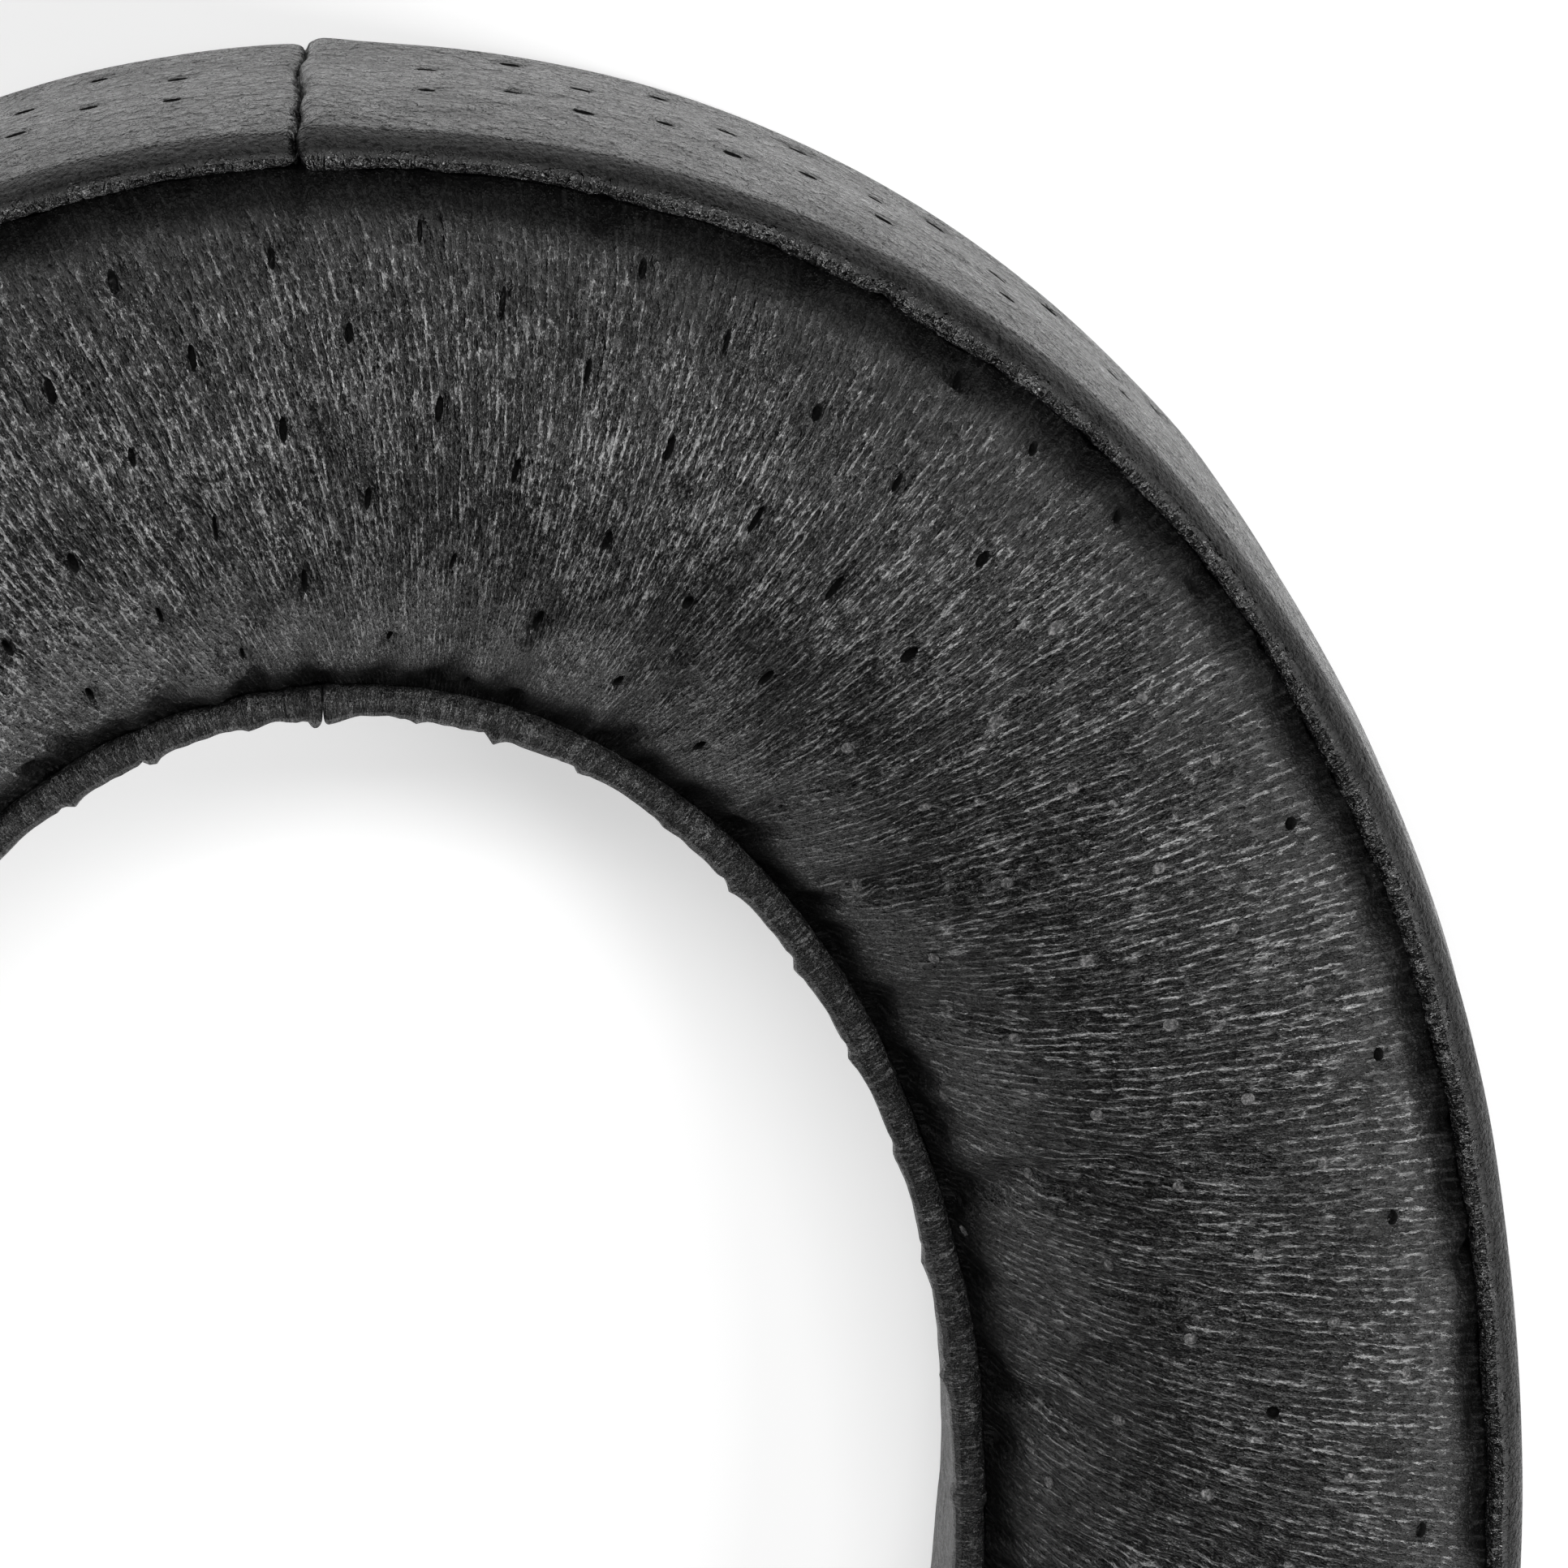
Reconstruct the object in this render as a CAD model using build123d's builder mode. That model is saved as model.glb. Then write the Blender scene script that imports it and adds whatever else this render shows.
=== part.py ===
"""An oval over-ear headphone ear pad: a foam ring in perforated leather, on a stretch mounting lip.

The pad lies on its mounting side, with its face up. +Y is the long axis, where the wall's butt seam
is, and +X is the thin side of the angled face. A section is drawn in (r, h): r is the distance out
from the oval line midway between the rims, and h is the height before the top is leaned over.
"""

from build123d import *
import os

os.makedirs("parts", exist_ok=True)

# Plan: the oval line midway between the face's outer seam and its inner seam (mm).
OVAL_X = 33.2
OVAL_Y = 43.0
LEAN = -0.10  # height gained per mm of +X, so the pad is thick at -X and thin at +X

# Leather and soft materials.
LEATHER = 0.7
LINING = 0.6
LIP_THICKNESS = 0.6
BACKING = 0.6
GAP = 0.1  # play between the foam and what wraps it
THREAD_R = 0.2
THREAD_SIDES = 8

# Section: seam places and heights over the oval line.
OUTER_SEAM = 10.6
INNER_SEAM = -9.4
WALL_BASE = 11.75
WALL_BULGE = 12.2
WALL_TOP = OUTER_SEAM + 2 * LEATHER
OPENING = INNER_SEAM - 2 * LINING
BEAD_H = 18.0
RIM_H = 12.6
CROWN_H = 22.4
CROWN_R = 3.2
BULGE_START_H = 4.8
BULGE_H = 11.0
OUTER_FOLD_END_H = 14.2
INNER_FOLD_END_H = 10.0
UNDER_H = -8.0  # sections run below the base, and are trimmed flat there
FOAM_OUTER = WALL_BASE - LEATHER - 0.5
FOAM_INNER = OPENING + LINING + 0.5

# Mounting side, from the table up.
LIP_WIDTH = 11.0
POCKET = 0.8  # slot that takes the flange of the ear cup
BACK_Z = LIP_THICKNESS + POCKET
FOAM_Z = BACK_Z + BACKING + 0.05
WALL_Z = LIP_THICKNESS
MARGIN = 1.2  # back panel's sewn margin, which closes the pocket at its outer edge
TURN_IN = 3.0  # lining turned under the back panel
BUTT_GAP = 0.2

SECTION = Plane((OVAL_X, 0, 0), x_dir=(1, 0, 0), z_dir=(0, -1, 0))
LEANED = Matrix([[1, 0, 0, 0], [0, 1, 0, 0], [LEAN, 0, 1, 0], [0, 0, 0, 1]])

with BuildLine() as oval:
    EllipticalCenterArc((0, 0), OVAL_X, OVAL_Y, arc_size=360)
OVAL = oval.line


def block(r_low, r_high, h_low, h_high, mode=Mode.ADD):
    """A rectangle of the section, between two radii and two heights."""
    with Locations(((r_low + r_high) / 2, (h_low + h_high) / 2)):
        Rectangle(r_high - r_low, h_high - h_low, mode=mode)


def face_region():
    """The whole area under the crowned face, between the two seams."""
    with BuildSketch() as region:
        with BuildLine():
            crown = Spline(
                (OUTER_SEAM, BEAD_H),
                (CROWN_R, CROWN_H),
                (INNER_SEAM, RIM_H),
                tangents=((0, 1), (-1, -0.06), (0, -1)),
            )
            Polyline(crown @ 1, (INNER_SEAM, UNDER_H), (OUTER_SEAM, UNDER_H), crown @ 0)
        make_face()
    return region.sketch


def lean(piece, bottom):
    """Leans the swept ring's top over, and trims its underside flat at the height bottom."""
    add(piece.part.transform_geometry(LEANED), mode=Mode.REPLACE)
    split(bisect_by=Plane.XY.offset(bottom), keep=Keep.TOP)


def save(piece, name):
    """Labels a finished piece and writes it as one STEP file."""
    piece.part.label = name
    export_step(piece.part, f"parts/{name}.step")


# Foam core: one moulded ring of memory foam, stepped in beside the seam allowances.
with BuildPart() as foam_core:
    with BuildSketch(SECTION):
        add(face_region())
        offset(amount=-LEATHER - GAP, mode=Mode.REPLACE)
        block(OUTER_SEAM - 1.3, WALL_BULGE, UNDER_H, CROWN_H, mode=Mode.SUBTRACT)
        block(OPENING, INNER_SEAM + 1.3, UNDER_H, CROWN_H, mode=Mode.SUBTRACT)
        block(INNER_SEAM + 1.3, FOAM_OUTER, UNDER_H, OUTER_FOLD_END_H - 0.4)
        block(FOAM_INNER, FOAM_OUTER, UNDER_H, INNER_FOLD_END_H - 0.3)
    sweep(path=OVAL)
    lean(foam_core, FOAM_Z)
save(foam_core, "foam_core")

# Face panel: the crowned perforated leather, its edges turned down inside both seams.
with BuildPart() as face_panel:
    with BuildSketch(SECTION):
        add(face_region())
        offset(amount=-LEATHER, mode=Mode.SUBTRACT)
        block(0, WALL_BULGE, UNDER_H, OUTER_FOLD_END_H, mode=Mode.SUBTRACT)
        block(OPENING, 0, UNDER_H, INNER_FOLD_END_H, mode=Mode.SUBTRACT)
    sweep(path=OVAL)
    lean(face_panel, FOAM_Z)
save(face_panel, "face_panel")

# Outer band: the wall strip. Its top edge is folded back on itself as the bead beside the seam.
with BuildPart() as outer_band:
    with BuildSketch(SECTION):
        with BuildLine():
            foot = Line((WALL_BASE, UNDER_H), (WALL_BASE, BULGE_START_H))
            bulge = Spline(
                foot @ 1, (WALL_BULGE, BULGE_H), (WALL_TOP, BEAD_H), tangents=((0, 1), (0, 1))
            )
            bead = ThreePointArc(
                bulge @ 1, (OUTER_SEAM + LEATHER, BEAD_H + LEATHER), (OUTER_SEAM, BEAD_H)
            )
            fold = Polyline(
                bead @ 1,
                (OUTER_SEAM, OUTER_FOLD_END_H),
                (WALL_TOP - LEATHER, OUTER_FOLD_END_H),
            )
            inside = Spline(
                fold @ 1,
                (WALL_BULGE - LEATHER, BULGE_H),
                (WALL_BASE - LEATHER, BULGE_START_H),
                tangents=((0, -1), (0, -1)),
            )
            Polyline(inside @ 1, (WALL_BASE - LEATHER, UNDER_H), foot @ 0)
        make_face()
    sweep(path=OVAL)
    lean(outer_band, WALL_Z)
    with Locations((0, OVAL_Y + WALL_BASE, 0)):
        Box(BUTT_GAP, 4, 60, mode=Mode.SUBTRACT)
save(outer_band, "outer_band")

# Inner band: the lining of the opening, folded over at the rim and turned under at the bottom.
with BuildPart() as inner_band:
    with BuildSketch(SECTION):
        with BuildLine():
            rim = ThreePointArc(
                (OPENING, RIM_H), (OPENING + LINING, RIM_H + LINING), (INNER_SEAM, RIM_H)
            )
            Polyline(
                rim @ 1,
                (INNER_SEAM, INNER_FOLD_END_H),
                (OPENING + LINING, INNER_FOLD_END_H),
                (OPENING + LINING, UNDER_H),
                (OPENING, UNDER_H),
                rim @ 0,
            )
        make_face()
    sweep(path=OVAL)
    lean(inner_band, BACK_Z - LINING)
    with BuildSketch(SECTION):
        block(OPENING, OPENING + TURN_IN, BACK_Z - LINING, BACK_Z)
    sweep(path=OVAL)
    with Locations((0, OVAL_Y + OPENING, 0)):
        Box(BUTT_GAP, 3 * LINING, 60, mode=Mode.SUBTRACT)
save(inner_band, "inner_band")

# Back panel: the flat ring that closes the mounting side under the foam.
with BuildPart() as back_panel:
    with BuildSketch(SECTION):
        block(OPENING + LINING + 0.1, WALL_BASE - LEATHER - 0.1, BACK_Z, BACK_Z + BACKING)
        block(
            WALL_BASE - LEATHER - 0.1 - MARGIN, WALL_BASE - LEATHER - 0.1, LIP_THICKNESS, BACK_Z
        )
    sweep(path=OVAL)
save(back_panel, "back_panel")

# Mounting lip: a stretch skirt sewn round the base, which is pulled over the ear cup's flange.
with BuildPart() as mounting_lip:
    with BuildSketch(SECTION):
        block(WALL_BASE - LIP_WIDTH, WALL_BASE - 0.1, -LIP_THICKNESS, LIP_THICKNESS)
    sweep(path=OVAL)
    split(bisect_by=Plane.XY, keep=Keep.TOP)
save(mounting_lip, "mounting_lip")

# Seam threads that run round the pad, inside its seams: name, r, h or z, and whether it leans.
RING_THREADS = [
    ("outer_seam_thread", OUTER_SEAM - LEATHER - THREAD_R - 0.1, 16.6, True),
    ("inner_seam_thread", INNER_SEAM + LEATHER + THREAD_R + 0.1, 11.4, True),
    ("base_seam_thread", WALL_BASE - LEATHER - 0.2 - MARGIN - THREAD_R, 1.0, False),
    ("back_seam_thread", OPENING + TURN_IN + THREAD_R + 0.1, BACK_Z - THREAD_R, False),
]
for name, thread_r, thread_h, leans in RING_THREADS:
    with BuildPart() as ring_thread:
        with BuildSketch(SECTION):
            with Locations((thread_r, thread_h)):
                RegularPolygon(THREAD_R, THREAD_SIDES)
        sweep(path=OVAL)
        if leans:
            lean(ring_thread, 0)
    save(ring_thread, name)

# Butt seam threads, which close each band into a ring behind its seam at +Y.
BUTT_THREADS = [
    ("outer_butt_thread", WALL_BASE - LEATHER - THREAD_R - 0.05, 3.0, 14.0),
    ("inner_butt_thread", OPENING + LINING + THREAD_R + 0.05, 3.0, 10.0),
]
for name, thread_r, z_low, z_high in BUTT_THREADS:
    with BuildPart() as butt_thread:
        with BuildSketch(Plane.XY.offset(z_low)):
            with Locations((0, OVAL_Y + thread_r)):
                Circle(THREAD_R)
        extrude(amount=z_high - z_low)
    save(butt_thread, name)
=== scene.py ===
import math

import bpy
import numpy as np
from mathutils import Matrix, Vector


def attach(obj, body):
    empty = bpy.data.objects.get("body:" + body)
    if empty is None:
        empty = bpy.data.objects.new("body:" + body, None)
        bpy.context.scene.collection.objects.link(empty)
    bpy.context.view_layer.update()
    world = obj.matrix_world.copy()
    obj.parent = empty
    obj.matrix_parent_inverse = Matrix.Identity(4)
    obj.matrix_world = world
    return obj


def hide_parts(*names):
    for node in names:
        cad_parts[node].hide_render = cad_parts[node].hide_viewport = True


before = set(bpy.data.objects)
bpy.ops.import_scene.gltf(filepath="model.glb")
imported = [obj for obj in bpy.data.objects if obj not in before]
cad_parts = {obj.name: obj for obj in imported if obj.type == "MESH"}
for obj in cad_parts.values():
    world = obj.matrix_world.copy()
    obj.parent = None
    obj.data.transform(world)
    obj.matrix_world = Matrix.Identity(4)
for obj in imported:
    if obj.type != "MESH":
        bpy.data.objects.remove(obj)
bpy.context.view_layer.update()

MM = 0.001

# Plan and section of the pad in millimetres, as its CAD pieces are laid out. r is the distance out
# from the oval line midway between the rims, and h the height before the top is leaned over.
OVAL_X = 33.2
OVAL_Y = 43.0
LEAN = -0.10
LEATHER = 0.7
LINING = 0.6
OUTER_SEAM = 10.6
INNER_SEAM = -9.4
WALL_BASE = 11.75
WALL_BULGE = 12.2
WALL_TOP = OUTER_SEAM + 2 * LEATHER
OPENING = INNER_SEAM - 2 * LINING
BEAD_H = 18.0
RIM_H = 12.6
CROWN_H = 22.4
CROWN_R = 3.2
LIP_THICKNESS = 0.6
LIP_WIDTH = 11.0
POCKET = 0.8
BACK_Z = LIP_THICKNESS + POCKET
BACKING = 0.6
FOAM_Z = BACK_Z + BACKING + 0.05
TURN_IN = 3.0
TAIL_H = 14.2  # how low the two leathers reach inside the outer seam
INNER_TAIL_H = 10.0  # and inside the inner seam
SEAM_TURN = math.pi / 2  # the butt seams are at +Y

COLUMNS = 672  # mesh columns round the pad, about 0.36 mm apart
CROSS = 0.36  # mesh row spacing across the leather


# ------------ shapes

def plan_shift(theta, r):
    """How far the real outline stands off the offset oval, as the stitched leather squares it off."""
    out = -0.41 * np.cos(2 * theta) - 0.50 * np.cos(4 * theta)
    inn = 0.40 * np.cos(2 * theta) - 0.18 * np.cos(4 * theta)
    w = np.clip((r - INNER_SEAM) / (OUTER_SEAM - INNER_SEAM), 0, 1)
    return inn + (out - inn) * w


def oval_steps(n):
    """n + 1 turns round the oval at equal steps of its length, from the butt seam round to it again."""
    t = np.linspace(SEAM_TURN, SEAM_TURN + 2 * math.pi, 7201)
    step = np.hypot(np.diff(OVAL_X * np.cos(t)), np.diff(OVAL_Y * np.sin(t)))
    along = np.concatenate([[0], np.cumsum(step)])
    at = np.linspace(0, along[-1], n + 1)
    return np.interp(at, along, t), at


TURNS, ALONG = oval_steps(COLUMNS)
ROUND = ALONG[-1]


def place(theta, r, h, lean=1.0):
    """Points of the pad in mm, for turns theta, distances r and heights h that broadcast together."""
    c, s = np.cos(theta), np.sin(theta)
    size = np.hypot(OVAL_Y * c, OVAL_X * s)
    off = r + plan_shift(theta, r)
    x = OVAL_X * c + off * OVAL_Y * c / size
    y = OVAL_Y * s + off * OVAL_X * s / size
    z = h + lean * LEAN * x
    return np.stack(np.broadcast_arrays(x, y, z), axis=-1)


def bezier(a, b, c, d, n):
    """n points along a cubic curve from a to d, drawn toward b and c."""
    t = np.linspace(0, 1, n)[:, None]
    a, b, c, d = (np.array(p, float) for p in (a, b, c, d))
    return a * (1 - t) ** 3 + 3 * b * t * (1 - t) ** 2 + 3 * c * t**2 * (1 - t) + d * t**3


def arc(centre, radius, start, end, n):
    """n points along an arc, from start to end in degrees."""
    t = np.radians(np.linspace(start, end, n))
    return np.stack([centre[0] + radius * np.cos(t), centre[1] + radius * np.sin(t)], axis=1)


def chain(*runs):
    """Runs of section points as one line, with doubled points dropped."""
    line = [np.array(runs[0][0], float)]
    for p in np.concatenate([np.array(r, float) for r in runs]):
        if np.hypot(*(p - line[-1])) > 1e-6:
            line.append(p)
    return np.array(line)


def resample(line, step):
    """The line at equal steps of about step, and the distance along it of each point."""
    along = np.concatenate([[0], np.cumsum(np.hypot(*np.diff(line, axis=0).T))])
    n = max(2, int(round(along[-1] / step)) + 1)
    at = np.linspace(0, along[-1], n)
    return np.stack([np.interp(at, along, line[:, k]) for k in range(line.shape[1])], axis=1), at


def soft_lookup(grid, fu, fv):
    """A grid's values, smoothly joined, at fractional columns fu round the pad and rows fv."""
    iu, iv = np.floor(fu).astype(int), np.floor(fv).astype(int)
    tu, tv = fu - iu, fv - iv
    tu, tv = tu * tu * (3 - 2 * tu), tv * tv * (3 - 2 * tv)
    low, high = iu % len(grid), (iu + 1) % len(grid)
    near = grid[low, iv] * (1 - tu) + grid[high, iv] * tu
    far = grid[low, iv + 1] * (1 - tu) + grid[high, iv + 1] * tu
    return near * (1 - tv) + far * tv


def uneven(u, v, cell_u, cell_v, seed):
    """Smooth noise from -1 to 1 on a lattice of cells that closes up round the pad."""
    r = np.random.default_rng(seed)
    nu = max(3, int(round(ROUND / cell_u)))
    nv = int(np.ceil((np.max(v) - np.min(v)) / cell_v)) + 3
    grid = r.uniform(-1, 1, (nu, nv))
    return soft_lookup(grid, u / ROUND * nu, (v - np.min(v)) / cell_v)


def round_gap(u, at):
    """Signed distance round the pad from at to u, by the shorter way."""
    return (u - at + ROUND / 2) % ROUND - ROUND / 2


def surface_normals(p, wrap):
    """Outward unit normals of a grid of points (columns round the pad, rows across the leather)."""
    if wrap:
        du = np.roll(p, -1, 0) - np.roll(p, 1, 0)
    else:
        du = np.gradient(p, axis=0)
    dv = np.roll(p, -1, 1) - np.roll(p, 1, 1)
    n = np.cross(du, dv)
    return n / np.maximum(np.linalg.norm(n, axis=-1, keepdims=True), 1e-12)


# ------------ mesh

def link_mesh(name, points, faces):
    """A mesh object in the scene, from points in metres."""
    mesh = bpy.data.meshes.new(name)
    mesh.from_pydata(points, [], faces)
    made = bpy.data.objects.new(name, mesh)
    bpy.context.scene.collection.objects.link(made)
    return made


def make_object(name, points, faces, materials=(), body="root", attributes=None, face_slots=None):
    """A smooth mesh object that rides on a body, from points in millimetres."""
    made = link_mesh(name, (np.asarray(points) * MM).tolist(), faces)
    mesh = made.data
    mesh.polygons.foreach_set("use_smooth", [True] * len(mesh.polygons))
    for key, values in (attributes or {}).items():
        values = np.asarray(values, np.float32)
        kind, field = ("FLOAT_VECTOR", "vector") if values.ndim == 2 else ("FLOAT", "value")
        mesh.attributes.new(key, kind, "POINT").data.foreach_set(field, values.ravel())
    for material in materials:
        mesh.materials.append(material)
    if face_slots is not None:
        mesh.polygons.foreach_set("material_index", face_slots)
    mesh.update()
    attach(made, body)
    return made


class Tube:
    """A closed leather strip: columns round the pad, and rows round its section's outline.

    Faces go in material slot 0, the cut sides of perforations in slot 1, and lint or foam in slot 2.
    """

    def __init__(self, points, wrap):
        self.points = points
        self.wrap = wrap
        self.columns, self.rows = points.shape[:2]
        self.extra = []
        self.shifts = []
        self.removed = set()
        self.added = []
        self.added_slots = []

    def index(self, i, j):
        return (i % self.columns) * self.rows + j % self.rows

    def new_point(self, p):
        self.extra.append(p)
        return self.columns * self.rows + len(self.extra) - 1

    def punch(self, i, j, normal, half_u, half_v, depth, plug):
        """Cuts a perforation round the vertex in column i and row j: a rim, a wall and a floor.

        plug is how far lint or foam stands up from the floor's edge in the middle, or 0 for an open pit.
        """
        ring = [(-1, -1), (0, -1), (1, -1), (1, 0), (1, 1), (0, 1), (-1, 1), (-1, 0)]
        centre = self.points[i, j].copy()
        along = self.points[(i + 1) % self.columns, j] - self.points[i - 1, j]
        step_u = np.linalg.norm(along) / 2
        step_v = np.linalg.norm(self.points[i, (j + 1) % self.rows] - self.points[i, j - 1]) / 2
        along /= 2 * step_u
        across = np.cross(normal, along)
        levels = [(1.0, 0.05), (0.88, depth * 0.5), (0.78, depth)]
        rings = [[], [], []]
        hub = self.index(i, j)
        for a, b in ring:
            size = math.hypot(a, b)
            side = (along * a * half_u + across * b * half_v) / size
            for level, (inset, sunk) in enumerate(levels):
                spot = centre + side * inset - normal * sunk
                if level:
                    k = self.new_point(spot)
                else:
                    k = self.index(i + a, j + b)
                    self.points[(i + a) % self.columns, (j + b) % self.rows] = spot
                rings[level].append(k)
                shift_u, shift_v = a * half_u * inset / size / step_u, b * half_v * inset / size / step_v
                self.shifts.append((k, hub, shift_u, shift_v))
        self.points[i, j] = centre - normal * (depth - plug)
        for a in (-1, 0):
            for b in (-1, 0):
                self.removed.add(((i + a) % self.columns, (j + b) % self.rows))
        rim, wall, floor = rings
        side_slot = 2 if plug > 0 else 1
        for k in range(8):
            m = (k + 1) % 8
            self.added.append((rim[k], rim[m], wall[m], wall[k]))
            self.added.append((wall[k], wall[m], floor[m], floor[k]))
            self.added.append((floor[k], floor[m], hub))
            self.added_slots += [0 if plug > 0 else 1, side_slot, side_slot]

    def spread_attribute(self, values):
        """Values of an attribute for every point, those that punching moved or added included."""
        values = np.asarray(values, float).reshape(self.columns, self.rows, -1)
        added = np.zeros((len(self.extra), values.shape[2]))
        flat = np.concatenate([values.reshape(self.columns * self.rows, -1), added])
        if self.shifts:
            k, hub, shift_u, shift_v = (np.array(c) for c in zip(*self.shifts))
            per_u = ((np.roll(values, -1, 0) - np.roll(values, 1, 0)) / 2).reshape(-1, values.shape[2])
            per_v = ((np.roll(values, -1, 1) - np.roll(values, 1, 1)) / 2).reshape(-1, values.shape[2])
            flat[k] = flat[hub] + per_u[hub] * shift_u[:, None] + per_v[hub] * shift_v[:, None]
        return flat.squeeze()

    def build(self, name, materials, attributes):
        """The strip as an object; each attribute's values are given for columns and rows."""
        last = self.columns if self.wrap else self.columns - 1
        faces = [
            (self.index(i, j), self.index(i + 1, j), self.index(i + 1, j + 1), self.index(i, j + 1))
            for i in range(last)
            for j in range(self.rows)
            if (i, j) not in self.removed
        ]
        if not self.wrap:
            faces.append(tuple(self.index(0, j) for j in range(self.rows)))
            faces.append(tuple(self.index(last, j) for j in reversed(range(self.rows))))
        slots = [0] * len(faces) + self.added_slots
        points = np.concatenate([self.points.reshape(-1, 3), np.array(self.extra).reshape(-1, 3)])
        full = {key: self.spread_attribute(values) for key, values in attributes.items()}
        return make_object(name, points, faces + self.added, materials, attributes=full, face_slots=slots)


def wrinkle_slant(turn):
    """How far round the leather's wrinkles run for each mm across it: they lean over at the pad's ends."""
    return -0.22 + 0.42 * np.sin(turn) ** 6


def strip_coordinates(columns_turns, rows_v, slanted=False):
    """Seamless leather coordinates in mm: the place on the oval line, and the distance across."""
    turn = columns_turns[:, None] + 0 * rows_v[None, :]
    if slanted:
        turn = turn + wrinkle_slant(turn) * rows_v[None, :] / OVAL_X
    x, y = OVAL_X * np.cos(turn), OVAL_Y * np.sin(turn)
    return np.stack(np.broadcast_arrays(x, y, rows_v[None, :]), axis=-1)


def turns_at(distances):
    """Turns round the oval at distances round the pad."""
    return np.interp(distances, ALONG, TURNS)


def section_rows(runs, visible, step, hidden_step):
    """Points (r, h) round a closed section, and each one's distance v across from the first visible run.

    visible lists which runs show and get the fine step; the others get hidden_step.
    """
    rows, v, shown, at = [], [], [], 0.0
    for k, run in enumerate(runs):
        line, along = resample(np.array(run, float), step if k in visible else hidden_step)
        for p, d in zip(line[:-1], along[:-1]):
            rows.append(p)
            v.append(at + d)
            shown.append(k in visible)
        at += along[-1]
    return np.array(rows), np.array(v), np.array(shown)


def smooth_step(x, low, high):
    """0 below low and 1 above high, with a smooth rise between them."""
    t = np.clip((x - low) / (high - low), 0, 1)
    return t * t * (3 - 2 * t)


def seam_wander(u):
    """How far the stitched outer seam line strays from its oval, in mm."""
    v = np.zeros_like(u)
    return 0.10 * uneven(u, v, 4.2, 1, 41) + 0.05 * uneven(u, v, 1.3, 1, 42)


def creases(u, v, places, depth, width, length, bend, start=0.0):
    """Sum of narrow valleys that run across the leather from the seam at v = start."""
    total = np.zeros(np.broadcast(u, v).shape)
    for k, at in enumerate(places):
        reach = length[k]
        near = np.abs(round_gap(u[:, 0], at)) < 4 * width[k] + abs(bend[k]) * reach + 0.5
        w = np.minimum(np.abs(v[near] - start), reach)
        gap = round_gap(u[near], at) - bend[k] * (w / reach) ** 2 * reach
        fade = 1 - smooth_step(w, 0.35 * reach, reach)
        total[near] += depth[k] * np.exp(-((gap / width[k]) ** 2)) * fade
    return total


def spaced_places(spacing, jitter, seed):
    """Uneven distances round the pad, and the generator that drew them, for more draws."""
    r = np.random.default_rng(seed)
    n = int(ROUND / spacing)
    return (np.arange(n) + r.uniform(-jitter, jitter, n)) * ROUND / n, r


def gathers(u, v, spacing, jitter, seed, depth, width, length, bend, start=0.0, share=None):
    """Creases at uneven places, with sizes drawn from the ranges given; share(places) scales their depth."""
    places, pick = spaced_places(spacing, jitter, seed)
    sizes = [pick.uniform(*span, len(places)) for span in (depth, width, length, bend)]
    if share:
        sizes[0] *= share(places)
    return creases(u, v, places, *sizes, start)


# ------------ face panel

SEAM_SINK = 0.6  # how far the face shows down into the outer seam
RIM_SINK = 0.4  # and into the inner one
UNDER_OUT = OUTER_SEAM - LEATHER
UNDER_IN = INNER_SEAM + LEATHER
UNDER_CROWN = 21.6
FACE_RUNS = [
    [(OUTER_SEAM, TAIL_H), (OUTER_SEAM, BEAD_H - SEAM_SINK)],
    chain(
        [(OUTER_SEAM, BEAD_H - SEAM_SINK)],
        bezier((OUTER_SEAM, BEAD_H), (OUTER_SEAM, 20.7), (7.0, 22.62), (CROWN_R, CROWN_H), 60),
        bezier((CROWN_R, CROWN_H), (-2.2, 22.2), (-6.7, 17.2), (INNER_SEAM, RIM_H), 80),
        [(INNER_SEAM, RIM_H - RIM_SINK)],
    ),
    [(INNER_SEAM, RIM_H - RIM_SINK), (INNER_SEAM, INNER_TAIL_H)],
    [(INNER_SEAM, INNER_TAIL_H), (UNDER_IN, INNER_TAIL_H)],
    [(UNDER_IN, INNER_TAIL_H), (UNDER_IN, RIM_H - 0.1)],
    chain(
        bezier((UNDER_IN, RIM_H - 0.1), (-6.2, 16.4), (-2.2, 21.3), (CROWN_R, UNDER_CROWN), 30),
        bezier((CROWN_R, UNDER_CROWN), (6.8, 21.8), (UNDER_OUT, 20.2), (UNDER_OUT, 17.6), 30),
    ),
    [(UNDER_OUT, 17.6), (UNDER_OUT, TAIL_H)],
    [(UNDER_OUT, TAIL_H), (OUTER_SEAM, TAIL_H)],
]

# The leather was punched flat in a staggered grid, which the stretching has skewed a little.
PUNCH_AT = np.array([28.53, 11.05])
PUNCH_A = np.array([2.89, -2.77])
PUNCH_B = np.array([-2.49, -3.50])
HOLE = 0.30  # half the size of a perforation before it is stretched, in mm
HOLE_SNAP = 0.35  # how near a mesh point has to be to a perforation's spot, in mm

SWELL_STEP = 0.9  # grid of the simulated face leather, in mm
SWELL_SCALE = 0.02  # Blender units per mm while it is simulated, because cloth settles badly when tiny
SWELL_START = 0.35  # how far inside its finished shape the leather starts, in mm
SWELL_CAP = 0.45  # the most that it may stand off its finished shape, in mm
SWELL_FLOOR = 4.0  # height of the flat underside that closes it
SWELL_FRAMES = 20


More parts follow.
